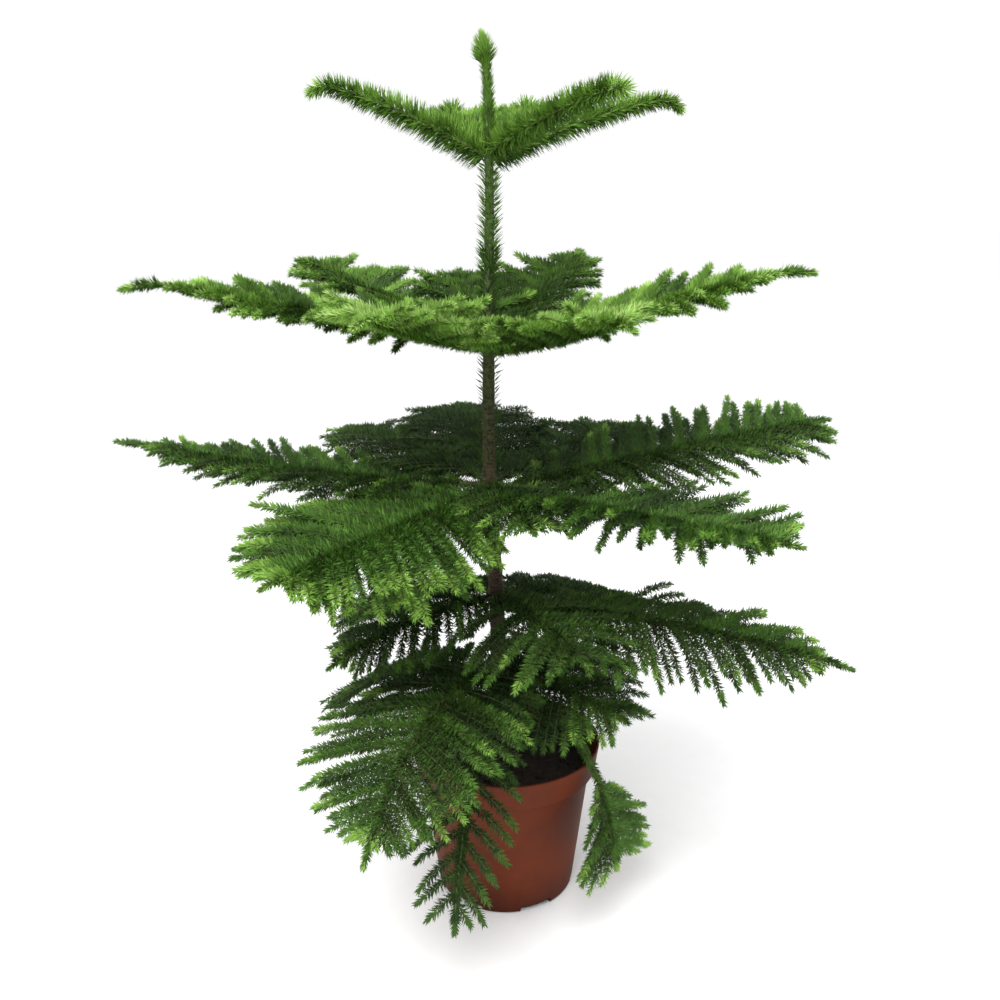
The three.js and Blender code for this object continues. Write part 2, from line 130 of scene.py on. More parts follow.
# Habits of the young whorls, and of the old ones with their feathery fronds
YOUNG = dict(bend=1, roll=0, flat=1.0, palette="young")
OLD = dict(
    bend=1, roll=0, plume=0.93, lift=0.1, lean=58, flat=0.9, taper=0.2, axis_dense=8, plume_needle=8,
    fresh=0, palette="old",
)
# The whorls of branches from the top down. Angles are in degrees, turns run anticlockwise from +X.
# rise and dip: slope of a branch at the trunk and at its tip. bend: how late it changes.
# nod: extra droop of the very tip. limb: share of the length that is bare bough.
# stem: radius of a branch at the trunk.
# plume: share of the length where side shoots end and needles stand on the branch itself.
# reach: the longest side shoot. spacing: from one side shoot to the next on the same side.
# point: how pointed the frond is towards its tip, 0 square and 1 a point.
# splay: where given, the angle at which the last side shoots leave the branch.
# bare: where given, the share of the bough that has no side shoots.
# lift and sag: how far side shoots stand up from the frond, and droop. roll: tilt of the frond.
# needle: its length. lean: its angle to its shoot. dense: needles on a millimetre of shoot.
# flat: 1 where needles stand all round the shoot, less where they part to its two sides.
# taper: how much shorter needles are at the end of their shoot.
# axis_dense and plume_needle: the needles on the branch itself, and their length in its plume.
# fresh: above 0 where the frond is paler, below 0 where it is darker. On whole whorls it is younger and older
# growth; on single fronds it is also painted light and shade, paler on the lit fronds at the front and darker
# on the shaded fronds at the back and on the sprig in shadow before the pot.
# pale: where given, the length of the paler last stretch of each shoot.
WHORLS = [
    dict(
        YOUNG, name="top", height=720, length=160, rise=24, dip=14, nod=-55, stem=2.2, limb=0, reach=0,
        point=0, plume=0, spacing=13, lift=0, sag=0, needle=12, lean=68, dense=7, taper=0.5,
        axis_dense=13, plume_needle=19, fresh=0.35,
        branches=[
            dict(turn=14, length=188, rise=27, dip=9),
            dict(turn=112, length=124, rise=36, dip=6, nod=-20, reach=58, point=0.3, plume=0.75),
            dict(turn=186, length=163, rise=31, plume_needle=22),
            dict(turn=313, length=156, rise=22, dip=9, nod=-20, taper=0.2),
            dict(turn=66, height=726, length=112, rise=34, dip=10, nod=-20, reach=40, point=0.3, plume=0.75),
        ],
    ),
    dict(
        YOUNG, name="upper", height=560, length=288, rise=14, dip=15, nod=-50, stem=2.1, limb=0.17, reach=66,
        point=1, plume=0.9, spacing=9.5, lift=0.22, sag=0.3, needle=10, lean=54, dense=6.6, taper=0.25,
        axis_dense=10, plume_needle=9.5, fresh=0.1,
        branches=[
            dict(turn=357, length=296, nod=-25, reach=64, roll=-10, spacing=7.5),
            dict(turn=66, length=270, rise=18, dense=5, fresh=-0.4),
            dict(turn=137, nod=-30, reach=70, point=0.6, splay=58, dense=5, fresh=-0.2),
            dict(
                turn=191, length=318, rise=7, dip=14, nod=-35, reach=64, point=1.1, roll=10,
                spacing=7.5, fresh=0,
            ),
            dict(
                turn=241, height=554, length=206, rise=8, dip=18, reach=78, point=0.6, splay=58, lift=0.35,
                needle=11, fresh=0.9, pale=60,
            ),
            dict(
                turn=304, height=551, length=204, rise=8, dip=18, reach=76, point=0.7, splay=56, lift=0.35,
                needle=11, fresh=0.2, pale=36,
            ),
            dict(turn=101, height=567, length=200, limb=0, dense=5, fresh=-0.4),
        ],
    ),
    dict(
        OLD, name="middle", height=424, length=310, rise=8, dip=-4, nod=-8, stem=2.5, limb=0.16, reach=98,
        point=0.85, spacing=6.8, sag=0.4, needle=9, dense=3.7,
        branches=[
            dict(
                turn=13, length=355, rise=10, dip=8, reach=80, point=0.4, splay=60, sag=0.25, roll=-7,
                spacing=5.2, dense=3.4,
            ),
            dict(turn=52, length=290, rise=9, dense=2.8, fresh=-0.3),
            dict(turn=98, length=320, rise=13, dense=2.8, fresh=-0.4),
            dict(turn=128, length=276, reach=84, dense=2.8, fresh=-0.3),
            dict(
                turn=175, length=366, rise=1, dip=11, reach=74, point=0.95, sag=0.2, roll=2,
                spacing=5.4, dense=3.4,
            ),
            dict(
                turn=232, length=276, rise=-3, dip=-4, reach=108, point=0.75, roll=7,
                spacing=4.6, needle=10, dense=4.8, fresh=0.5, pale=30,
            ),
            dict(turn=286, length=140, rise=2, dip=-8, reach=58),
            dict(
                turn=323, length=305, rise=-1, dip=2, reach=86, point=0.5, splay=60, sag=0.1, roll=3,
                spacing=5, dense=3.4, fresh=0.1,
            ),
        ],
    ),
    dict(
        OLD, name="lower", height=313, length=260, rise=-5, dip=-40, nod=-8, stem=2.6, limb=0.17, reach=98,
        point=0.85, spacing=7, sag=0.5, needle=8.8, dense=3.5,
        branches=[
            dict(turn=50, dip=-30, reach=74, dense=3),
            dict(turn=130, dense=3),
            dict(turn=208, length=180, rise=4, dip=-28, reach=70),
            dict(turn=302, length=150, rise=0, dip=-15),
            dict(
                turn=341, height=299, length=334, rise=11, dip=-10, bend=0.6, reach=86, point=0.8, sag=0.6,
                roll=-9,
            ),
        ],
    ),
    dict(
        OLD, name="skirt", height=222, length=230, rise=6, dip=-34, nod=0, stem=2.7, limb=0.17, reach=92,
        point=0.7, spacing=7, sag=0.5, needle=8.8, dense=3.5,
        branches=[
            dict(turn=55, length=210, dense=3),
            dict(turn=148, length=212, dip=-44, dense=3),
            dict(
                turn=242, height=228, length=276, rise=28, dip=-62, reach=106, point=0.8, splay=58, sag=0.25,
                roll=-8, spacing=5.4, pale=26,
            ),
            dict(
                turn=260, height=216, length=276, rise=16, dip=-74, reach=54, point=0.4,
                spacing=17, fresh=-0.8,
            ),
            dict(
                turn=328, length=240, rise=24, dip=-88, bend=0.5, limb=0.62, reach=60, point=0.3, splay=80,
                roll=-8, bare=1, spacing=5.5, fresh=0.4,
            ),
            dict(turn=322, height=236, length=150, rise=2, dip=-12, reach=82),
        ],
    ),
]

# A needle: a blade folded along its middle, widest a little way up from its root.
# outward: how far its face turns from the top of the shoot towards the needle's own side.
NEEDLE = dict(
    width=1.38, fold=0.3, widest=0.34, outward=0.4, turn_jitter=0.5, length_jitter=0.18, lean_jitter=9,
    spiral_jitter=25,
)
# The last stretch of a shoot, where needles close up towards the bud. closing: how late they do.
TIP = dict(length=16, lean=22, closing=1.5)
# Needles on a branch begin this far from the middle of the trunk
ROOT = 4
# Needles on a branch itself: points of its line before the plume and in it.
# flat: as for a whorl, before the plume.
AXIS_BRUSH = dict(inner_points=20, plume_points=24, flat=0.7)

# Colours are sRGB. Needle tones run from the underside of the oldest sprays to the tips of the youngest. The
# first, darkest tone is painted shade, which only needles on a shoot's underside take.
TONES = ["deep", "shade", "leaf", "fresh", "tip"]
PALETTES = {
    "young": [(32, 54, 14), (52, 80, 24), (78, 113, 37), (112, 150, 60), (152, 184, 100)],
    "old": [(26, 44, 13), (40, 64, 22), (56, 85, 30), (74, 110, 40), (116, 152, 64)],
}
# Share of the sprays in each of the three middle tones
TONE_SHARES = [0.3, 0.45, 0.25]
# The highest draw, which still falls in the last of those shares
LAST_DRAW = 0.999
# Needles on a shoot's underside, below this height on a unit circle round it, are a tone darker: painted
# shade
PAINTED_SHADE_BELOW = -0.3
# Needles are a tone paler beyond this share of the last stretch of a side shoot, or of a plume
PALE_FROM = dict(shoot=0.2, plume=0.3)
# How much fresher the side shoots at a frond's tip are than those at its foot
FRESHER_TIP = 0.3
# A plume's tones are dealt out to tufts. Every run of this many needles has one on each quarter of its round.
TUFT = 50
TUFT_COUNT = 400

TWIG_COLOURS = dict(young=(92, 112, 50), old=(74, 80, 42), bough=(76, 78, 42), leader=(96, 124, 54))
# Colours of the bark between two heights in metres, by the share of the way up
BARK_HEIGHTS = (0.14, 0.86)
BARK_COLOURS = [
    (0.0, (70, 48, 34)),
    (0.34, (76, 54, 36)),
    (0.5, (74, 66, 36)),
    (0.68, (66, 80, 34)),
    (0.9, (78, 106, 44)),
]
# Height in metres over which the soiled foot of the pot fades
SOILED_HEIGHTS = (0.015, 0.07)
WHITE = (255, 255, 255)
# Where most values of a noise lie
NOISE_SPAN = (0.3, 0.7)

# Stage: the floor's reach from the origin and the white sky's strength
FLOOR_REACH = 60000
SKY = 1.05
# One soft light and the camera, placed in metres
LIGHT = dict(place=(-0.6, -1.4, 2.6), target=(0, 0, 0.4), size=2.2, power=105)
CAMERA = dict(place=(-0.0061, -0.918, 0.667), pitch=15.7, lens=36, sensor=36)


def lerp(a, b, t):
    return a + (b - a) * t


def unit(vectors):
    return vectors / np.linalg.norm(vectors, axis=-1, keepdims=True)


def level_directions(angle):
    """Level unit vectors at some angles in radians."""
    return np.stack([np.cos(angle), np.sin(angle), np.zeros(len(angle))], 1)


def fractal(place, relief):
    return noise.fractal(place, relief["increment"], relief["lacunarity"], relief["octaves"])


def linear(srgb):
    """Linear colour with alpha from sRGB bytes."""
    share = np.array(srgb) / 255
    low = share / 12.92
    high = ((share + 0.055) / 1.055) ** 2.4
    return (*np.where(share <= 0.04045, low, high), 1.0)


# Meshes

class Skin:
    """Triangles of many small shapes, gathered in millimetres and made into one mesh."""

    def __init__(self):
        self.points = []
        self.triangles = []
        self.count = 0

    def add(self, points, triangles):
        self.points.append(points)
        self.triangles.append(triangles + self.count)
        self.count += len(points)

    def add_rings(self, rings, open_start=False):
        """Skin over rings of equal size, given as an array of ring, point and coordinate."""
        rows, sides = rings.shape[:2]
        k = np.arange(sides)
        after = (k + 1) % sides
        starts = np.arange(rows - 1)[:, None] * sides
        here = (starts + k).ravel()
        beside = (starts + after).ravel()
        faces = [
            np.stack([here, beside, beside + sides], 1),
            np.stack([here, beside + sides, here + sides], 1),
        ]
        points = [rings.reshape(-1, 3)]
        middle = rows * sides
        if not open_start:
            points.append(rings[:1].mean(1))
            faces.append(np.stack([np.full(sides, middle), after, k], 1))
            middle += 1
        last = (rows - 1) * sides
        points.append(rings[-1:].mean(1))
        faces.append(np.stack([np.full(sides, middle), last + k, last + after], 1))
        self.add(np.concatenate(points), np.concatenate(faces))

    def mesh(self, name):
        points = np.concatenate(self.points) * MM
        triangles = np.concatenate(self.triangles)
        mesh = bpy.data.meshes.new(name)
        mesh.vertices.add(len(points))
        mesh.vertices.foreach_set("co", points.astype(np.float32).ravel())
        mesh.loops.add(triangles.size)
        mesh.loops.foreach_set("vertex_index", triangles.astype(np.int32).ravel())
        mesh.polygons.add(len(triangles))
        mesh.polygons.foreach_set("loop_start", np.arange(0, triangles.size, 3, dtype=np.int32))
        mesh.polygons.foreach_set("use_smooth", np.ones(len(triangles), dtype=bool))
        mesh.update(calc_edges=True)
        return mesh


def new_object(name, mesh, material):
    piece = bpy.data.objects.new(name, mesh)
    bpy.context.scene.collection.objects.link(piece)
    mesh.materials.append(material)
    return piece


def plant_piece(name, mesh, material, nodes):
    """A piece of the plant, on its only body, in place of some of the frame's nodes."""
    piece = new_object(name, mesh, material)
    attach(piece, "root")
    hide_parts(*nodes)


def rings_round(points, radii, sides, reference):
    """Rings of points round a line. radii holds one number, or one for each point of the ring, per place."""
    along = unit(np.gradient(points, axis=0))
    across = unit(np.cross(along, reference))
    up = np.cross(across, along)
    angle = 2 * math.pi * np.arange(sides) / sides
    out = across[:, None] * np.cos(angle)[:, None] + up[:, None] * np.sin(angle)[:, None]
    return points[:, None] + out * np.reshape(radii, (len(points), -1, 1))


# Materials

class Nodes:
    """A material's node tree with short calls to add and link its nodes."""

    def __init__(self, name):
        self.material = bpy.data.materials.new(name)
        self.material.use_nodes = True
        self.tree = self.material.node_tree
        self.shader = self.tree.nodes["Principled BSDF"]
        self.place = self.add("ShaderNodeTexCoord").outputs["Object"]

    def add(self, kind, **settings):
        node = self.tree.nodes.new(kind)
        for key, value in settings.items():
            setattr(node, key, value)
        return node

    def link(self, source, target):
        self.tree.links.new(source, target)

    def stretched(self, scale):
        """Object coordinates scaled by a different amount along each axis."""
        mapping = self.add("ShaderNodeMapping")
        mapping.inputs["Scale"].default_value = scale
        self.link(self.place, mapping.inputs["Vector"])
        return mapping.outputs["Vector"]

    def noise(self, scale=1.0, detail=3.0, rough=0.55, place=None):
        node = self.add("ShaderNodeTexNoise")
        node.inputs["Scale"].default_value = scale
        node.inputs["Detail"].default_value = detail
        node.inputs["Roughness"].default_value = rough
        self.link(place or self.place, node.inputs["Vector"])
        return node.outputs["Fac"]

    def ramp(self, value, *stops):
        """Colour by a value, through pairs of a place from 0 to 1 and an sRGB colour."""
        node = self.add("ShaderNodeValToRGB")
        elements = node.color_ramp.elements
        while len(elements) < len(stops):
            elements.new(0.5)
        for element, (at, colour) in zip(elements, stops):
            element.position = at
            element.color = linear(colour)
        self.link(value, node.inputs["Fac"])
        return node.outputs["Color"]

    def tint(self, value, colour, low, high):
        """A colour that a noise darkens and lightens to two shares of its brightness."""
        return self.ramp(value, *((at, shaded(colour, share)) for at, share in zip(NOISE_SPAN, (low, high))))

    def span(self, value, low, high, to_low=0.0, to_high=1.0):
        node = self.add("ShaderNodeMapRange")
        node.inputs["From Min"].default_value = low
        node.inputs["From Max"].default_value = high
        node.inputs["To Min"].default_value = to_low
        node.inputs["To Max"].default_value = to_high
        self.link(value, node.inputs["Value"])
        return node.outputs["Result"]

    def multiply(self, first, second):
        """The product of two colours."""
        node = self.add("ShaderNodeMix", data_type="RGBA", blend_type="MULTIPLY")
        node.inputs["Factor"].default_value = 1.0
        self.link(first, node.inputs["A"])
        self.link(second, node.inputs["B"])
        return node.outputs["Result"]

    def wandering_height(self, wander, amount):
        """Height above the floor in metres, plus a noise times an amount."""
        split = self.add("ShaderNodeSeparateXYZ")
        self.link(self.place, split.inputs["Vector"])
        height = self.add("ShaderNodeMath", operation="MULTIPLY_ADD")
        height.inputs[1].default_value = amount
        self.link(wander, height.inputs[0])
        self.link(split.outputs["Z"], height.inputs[2])
        return height.outputs["Value"]

    def bump(self, value, distance, strength=0.6):
        node = self.add("ShaderNodeBump")
        node.inputs["Strength"].default_value = strength
        node.inputs["Distance"].default_value = distance
        self.link(value, node.inputs["Height"])
        self.link(node.outputs["Normal"], self.shader.inputs["Normal"])

    def colour(self, value):
        self.link(value, self.shader.inputs["Base Color"])

    def roughness(self, value, low, high):
        self.link(self.span(value, *NOISE_SPAN, low, high), self.shader.inputs["Roughness"])

    def specular(self, level):
        self.shader.inputs["Specular IOR Level"].default_value = level


def shaded(colour, share):
    return tuple(min(255, channel * share) for channel in colour)


def needle_material(name, colour):
    nodes = Nodes(name)
    patches = nodes.noise(scale=70, detail=2)
    nodes.colour(nodes.tint(patches, colour, low=0.86, high=1.14))
    nodes.roughness(patches, low=0.5, high=0.66)
    nodes.specular(0.2)
    nodes.bump(nodes.noise(scale=900, detail=1), distance=0.0002, strength=0.3)
    return nodes.material


def needle_materials():
    """A material for each tone of each palette."""
    return {
        (palette, tone): needle_material(f"{palette}_{tone}_needles", colour)
        for palette, colours in PALETTES.items()
        for tone, colour in zip(TONES, colours)
    }


def twig_material(name, colour):
    nodes = Nodes(name)
    grain = nodes.noise(scale=260, detail=4)
    nodes.colour(nodes.tint(grain, colour, low=0.7, high=1.2))
    nodes.roughness(grain, low=0.65, high=0.85)
    nodes.bump(grain, distance=0.0004)
    return nodes.material


def bark_material():
    """Reddish brown at the foot, olive higher up and green near the top."""
    nodes = Nodes("bark")
    height = nodes.wandering_height(nodes.noise(scale=14), amount=0.12)
    base = nodes.ramp(nodes.span(height, *BARK_HEIGHTS), *BARK_COLOURS)
    flakes = nodes.noise(detail=5, rough=0.65, place=nodes.stretched((160, 160, 420)))
    gaps = nodes.ramp(flakes, (0.36, (120, 108, 98)), (0.6, WHITE))
    nodes.colour(nodes.multiply(base, gaps))
    nodes.roughness(flakes, low=0.9, high=0.68)
    nodes.bump(flakes, distance=0.0008, strength=0.7)
    return nodes.material


def pot_material():
    """Satin plastic with faint flow marks, mottling and a soiled foot."""
    nodes = Nodes("terracotta_plastic")
    mottle = nodes.noise(scale=16, detail=5, rough=0.6)
    base = nodes.ramp(mottle, (0.25, (76, 32, 14)), (0.75, (99, 43, 21)))
    flow = nodes.noise(detail=3, rough=0.5, place=nodes.stretched((26, 26, 420)))
    streaks = nodes.ramp(flow, (0.35, (249, 248, 247)), (0.65, WHITE))
    soiled = nodes.span(nodes.wandering_height(mottle, amount=0.05), *SOILED_HEIGHTS)
    foot = nodes.ramp(soiled, (0.0, (176, 164, 156)), (1.0, WHITE))
    nodes.colour(nodes.multiply(nodes.multiply(base, streaks), foot))
    nodes.roughness(mottle, low=0.5, high=0.66)
    nodes.specular(0.12)
    nodes.bump(nodes.noise(scale=520, detail=3), distance=0.0003, strength=0.25)
    return nodes.material


def soil_material():
    nodes = Nodes("peat")
    crumbs = nodes.noise(scale=150, detail=6, rough=0.7)
    nodes.colour(nodes.ramp(crumbs, (0.3, (18, 13, 10)), (0.55, (44, 32, 24)), (0.8, (78, 58, 42))))
    nodes.roughness(crumbs, low=0.85, high=1.0)
    nodes.bump(crumbs, distance=0.0025, strength=0.9)
    return nodes.material


def floor_material():
    nodes = Nodes("pale_floor")
    grain = nodes.noise(scale=40, detail=3)
    nodes.colour(nodes.ramp(grain, (0.3, (249, 249, 249)), (0.7, (252, 252, 252))))
    nodes.roughness(grain, low=0.75, high=0.85)
    return nodes.material


# Pot and soil

COLLAR_FOOT = POT["height"] - POT["collar_height"]
NECK = COLLAR_FOOT - POT["shoulder"]


def pot_radius(height):
    """Outer radius of the pot at a height."""
    heights = [0, NECK, COLLAR_FOOT, POT["height"]]
    radii = [POT["foot_radius"], POT["neck_radius"], POT["collar_foot_radius"], POT["rim_radius"]]
    return np.interp(height, heights, radii)


def arc(radius, height, size, start, end, steps=6):
    """Points of an arc in a profile of radius and height, between two angles in degrees."""
    angles = np.radians(np.linspace(start, end, steps + 1))
    return [(radius + size * math.cos(a), height + size * math.sin(a)) for a in angles]


def straight(low, high, rings):
    """Points of a straight stretch of a profile, between two places of radius and height."""
    shares = np.linspace(rings["start"], rings["end"], rings["count"])
    return [(lerp(low[0], high[0], t), lerp(low[1], high[1], t)) for t in shares]


def turned(profile, sides):
    """Rings of a shape turned about the pot's axis, through pairs of radius and height."""
    radius, height = np.array(profile).T
    angle = 2 * math.pi * np.arange(sides) / sides
    x = radius[:, None] * np.cos(angle)
    y = radius[:, None] * np.sin(angle)
    return np.stack([x, y, np.broadcast_to(height[:, None], x.shape)], -1)


def drain_cutters():
    """Round-cornered bars that cut the drain openings from the corner of the pot's wall and floor."""
    half = DRAIN["width"] / 2
    rise = DRAIN["height"] - DRAIN["corner"]
    inset = half - DRAIN["corner"]
    outline = [(half, -DRAIN["height"]), *arc(inset, rise, DRAIN["corner"], 0, 90)]
    outline += [*arc(-inset, rise, DRAIN["corner"], 90, 180), (-half, -DRAIN["height"])]
    side, height = np.array(outline).T
    cutters = Skin()
    for i in range(DRAIN["count"]):
        turn = math.radians(DRAIN["turn"] + 360 * i / DRAIN["count"])
        out = np.array([math.cos(turn), math.sin(turn), 0])
        level = np.cross(UP, out)
        face = level * side[:, None] + UP * height[:, None]
        depths = [POT["foot_radius"] - DRAIN["depth"], POT["foot_radius"] + DRAIN["depth"]]
        cutters.add_rings(np.stack([face + out * depth for depth in depths]))
    return cutters.mesh("drain_cutters")


def pot_profile():
    """Radius and height of the pot's surface, from the underside up its wall and down inside to its floor."""
    wall, foot, round_foot = POT["wall"], POT["foot_radius"], POT["foot_rounding"]
    neck, collar, rim = POT["neck_radius"], POT["collar_foot_radius"], POT["rim_radius"]
    fillet, rounding, lip = POT["neck_fillet"], POT["collar_rounding"], wall / 2
    profile = [(AXIS_RING, 0), *arc(foot - round_foot, round_foot, round_foot, -90, -6)]
    profile += straight((foot, round_foot), (neck, NECK), WALL_RINGS)
    profile += arc(neck + fillet, NECK - fillet / 4, fillet, 180, 120, steps=4)
    profile += arc(collar - rounding, COLLAR_FOOT + rounding / 2, rounding, -60, 0, steps=4)
    profile += straight((collar, COLLAR_FOOT), (rim, POT["height"]), COLLAR_RINGS)
    profile += arc(rim - lip, POT["height"] - lip, lip, 0, 180, steps=8)
    return profile + [
        (collar - wall, COLLAR_FOOT + lip),
        (neck - wall, NECK + lip),
        (foot - wall, POT["floor"]),
        (AXIS_RING, POT["floor"]),
    ]


def make_pot():
    shell = Skin()
    shell.add_rings(turned(pot_profile(), POT["sides"]))
    pot = new_object("pot_shell", shell.mesh("pot_shell"), pot_material())
    cutters = bpy.data.objects.new("drain_cutters", drain_cutters())
    bpy.context.scene.collection.objects.link(cutters)
    cut = pot.modifiers.new("drains", "BOOLEAN")
    cut.object = cutters
    cut.operation = "DIFFERENCE"
    cut.solver = "EXACT"
    bpy.context.view_layer.update()
    shape = bpy.data.meshes.new_from_object(pot.evaluated_get(bpy.context.evaluated_depsgraph_get()))
    pot.modifiers.clear()
    pot.data = shape
    bpy.data.objects.remove(cutters)
    shape.set_sharp_from_angle(angle=math.radians(SHARP_EDGE))
    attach(pot, "root")
    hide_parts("pot")


def soil_height(radius):
    edge = POT["collar_foot_radius"] - POT["wall"]
    share = np.clip((radius - SOIL["crown_radius"]) / (edge - SOIL["crown_radius"]), 0, 1)
    return lerp(SOIL["crown_height"], SOIL["edge_height"], share)


def make_soil():
    """Peat that fills the pot: a rough top with loose crumbs."""
    rng = np.random.default_rng(SEEDS["soil"])
    edge = POT["collar_foot_radius"] - POT["wall"] - SOIL["gap"]
    radii = np.linspace(SOIL["inner_ring"], edge, SOIL["rings"])
    top = turned([(radius, soil_height(radius)) for radius in radii], SOIL["sides"])
    for point in top.reshape(-1, 3):
        rough = fractal(Vector(point) * SOIL_RELIEF["scale"], SOIL_RELIEF)
        point[2] += SOIL["lump"] * rough - SOIL["gap"]
    levels = [POT["floor"] + SOIL["gap"], NECK, COLLAR_FOOT]
    beside = [(pot_radius(level) - POT["wall"] - SOIL["gap"], level) for level in levels]
    soil = Skin()
    soil.add_rings(np.concatenate([turned(beside, SOIL["sides"]), top[::-1]]))
    blank = turned(CRUMB_PROFILE, CRUMB["sides"])
    for _ in range(CRUMB["count"]):
        distance = edge * CRUMB["spread"] * math.sqrt(rng.random())
        turn = 2 * math.pi * rng.random()
        size = CRUMB["size"] * (CRUMB["least"] + rng.random())
        centre = np.array([distance * math.cos(turn), distance * math.sin(turn), soil_height(distance)])
        tilt = np.linalg.qr(rng.normal(size=(3, 3)))[0]
        rough = blank + CRUMB["rough"] * rng.normal(size=blank.shape)
        soil.add_rings(rough @ tilt * np.sign(np.linalg.det(tilt)) * size + centre)
    plant_piece("peat_top", soil.mesh("peat_top"), soil_material(), ["soil"])


# Trunk

LEAN_HEIGHT, LEAN_SIDE = np.array(LEAN, float).T
LEAN_SLOPE = np.gradient(LEAN_SIDE, LEAN_HEIGHT)


def trunk_centre(height):
    """Points on the trunk's centre line, a smooth curve through the lean's knots."""
    height = np.asarray(height, float)
    k = np.clip(np.searchsorted(LEAN_HEIGHT, height) - 1, 0, len(LEAN_HEIGHT) - 2)
    step = LEAN_HEIGHT[k + 1] - LEAN_HEIGHT[k]
    t = (height - LEAN_HEIGHT[k]) / step
    rest = 1 - t
    side = LEAN_SIDE[k] * (1 + 2 * t) * rest**2 + LEAN_SIDE[k + 1] * t**2 * (1 + 2 * rest)
    side = side + step * (LEAN_SLOPE[k] * t * rest**2 - LEAN_SLOPE[k + 1] * t**2 * rest)
    return np.stack([side, np.zeros_like(side), height], -1)


def trunk_radius(height):
    share = np.clip((TRUNK["top"] - height) / (TRUNK["top"] - TRUNK["ground"]), 0, 1)
    flare = TRUNK["flare"] * np.exp((TRUNK["ground"] - height) / TRUNK["flare_height"])
    return lerp(TRUNK["tip_radius"], TRUNK["base_radius"], share ** TRUNK["taper"]) + flare


def whorl_swelling(height):
    """How far the trunk swells where its branches leave it, as a share of its radius."""
    away = [(height - whorl["height"]) / TRUNK["swell_height"] for whorl in WHORLS]
    return sum(TRUNK["swell"] * np.exp(-(distance**2)) for distance in away)


def needle_bases(turns, height, rows, pitch):
    """Raised bases of shed needles in two crossing spirals, from 0 to 1."""
    one = np.cos(2 * math.pi * (rows * turns + height / pitch))
    other = np.cos(2 * math.pi * (rows * turns - height / pitch))
    return np.clip(one * other, 0, 1)


def rough_bark(rings):
    """Bark relief at every point of some rings, about -1 to 1."""
    places = rings.reshape(-1, 3) * BARK_RELIEF["scale"] * np.array([1, 1, BARK_RELIEF["upright"]])
    return np.reshape([fractal(Vector(place), BARK_RELIEF) for place in places], rings.shape[:2])


def make_trunk():
    """Trunk with scaly bark at its foot, spirals of needle bases higher up, and a knuckle at each whorl."""
    ground, sides = TRUNK["ground"] - TRUNK["sunk"], TRUNK["sides"]
    height = np.linspace(ground, TRUNK["top"], int((TRUNK["top"] - ground) / TRUNK["station"]))
    centres = trunk_centre(height)
    radius = trunk_radius(np.maximum(height, TRUNK["ground"])) * (1 + whorl_swelling(height))
    turns = np.arange(sides) / sides
    old = np.clip((BARK["old_top"] - height) / BARK["fade"], BARK["least"], 1)[:, None]
    relief = BARK["scales"] * old * rough_bark(rings_round(centres, radius, sides, BACK))
    bases = needle_bases(turns[None], height[:, None], **TRUNK_BASES)
    relief += BARK["bases"] * (BARK["bases_from"] - old) * bases
    foot = np.exp((ground - height) / BUTTRESS["height"])[:, None]
    buttress = foot * BUTTRESS["depth"] * np.cos(2 * math.pi * BUTTRESS["count"] * turns)[None]
    trunk = Skin()
    trunk.add_rings(rings_round(centres, radius[:, None] + relief + buttress, sides, BACK))
    plant_piece("trunk_bark", trunk.mesh("trunk_bark"), bark_material(), ["trunk"])


# Branches and their side shoots

def all_branches():
    """Every branch with its whorl's habit, its own differences, its height, axis and random numbers."""
    found = []
    for whorl in WHORLS:
        habit = {key: value for key, value in whorl.items() if key != "branches"}
        for i, own in enumerate(whorl["branches"]):
            stagger = STAGGER * (2 * ((i * GOLDEN_RATIO) % 1) - 1)
            branch = {**habit, "height": habit["height"] + stagger, **own, "number": i + 1}
            branch["rng"] = np.random.default_rng(habit["height"] + i)
            branch["axis"] = branch_axis(branch)
            found.append(branch)
    return found


def branch_axis(branch):
    """Centre line of a branch, from the middle of the trunk to the tip."""
    share = (np.arange(AXIS_STEPS) + 0.5) / AXIS_STEPS
    nod = branch["nod"] * np.clip((share - NOD_START) / (1 - NOD_START), 0, 1)
    slope = np.radians(lerp(branch["rise"], branch["dip"], share ** branch["bend"]) + nod)
    turn = math.radians(branch["turn"])
    heading = np.stack([np.cos(slope) * math.cos(turn), np.cos(slope) * math.sin(turn), np.sin(slope)], 1)
    steps = np.cumsum(heading * branch["length"] / AXIS_STEPS, 0)
    start = trunk_centre(branch["height"])
    return np.concatenate([start[None], start + steps])


def places_on(points, share):
    """Places at shares of a line's length, and the directions along it there."""
    place = np.clip(share, 0, 1) * (len(points) - 1)
    before = np.minimum(place.astype(int), len(points) - 2)
    step = points[before + 1] - points[before]
    return points[before] + step * (place - before)[..., None], unit(step)


def frond_frame(branch, share):
    """Place on a branch's axis, and the directions along it, across its frond and up out of it."""
    origin, along = places_on(branch["axis"], np.asarray(share, float))
    level = unit(np.cross(along, UP))
    upright = np.cross(level, along)
    tilt = math.radians(branch["roll"])
    across = level * math.cos(tilt) + upright * math.sin(tilt)
    up = upright * math.cos(tilt) - level * math.sin(tilt)
    return origin, along, across, up


def frond_outline(t, point):
    """Share of the longest side shoot that a shoot has part of the way along its frond."""
    widest = INNER_POINT / (INNER_POINT + point)
    return (t / widest) ** INNER_POINT * ((1 - t) / (1 - widest)) ** point


def in_the_way(points, margin):
    """Which points lie in the pot, the soil, the trunk or the floor, or within a margin of them."""
    height = points[:, 2]
    distance = np.hypot(points[:, 0], points[:, 1])
    outer = pot_radius(height)
    beside = (height < POT["height"] + margin) & (distance < outer + margin)
    well = (height > SOIL["crown_height"] + margin) & (distance < outer - POT["wall"] - margin)
    level = np.clip(height, TRUNK["ground"], TRUNK["top"])
    from_trunk = np.linalg.norm(points - trunk_centre(level), axis=1)
    trunk = from_trunk < trunk_radius(level) + margin
    return (beside & ~well) | trunk | (height < margin)


def first_shoot(branch):
    """Share of a branch's length where its side shoots begin."""
    return branch["limb"] * branch.get("bare", BARE)


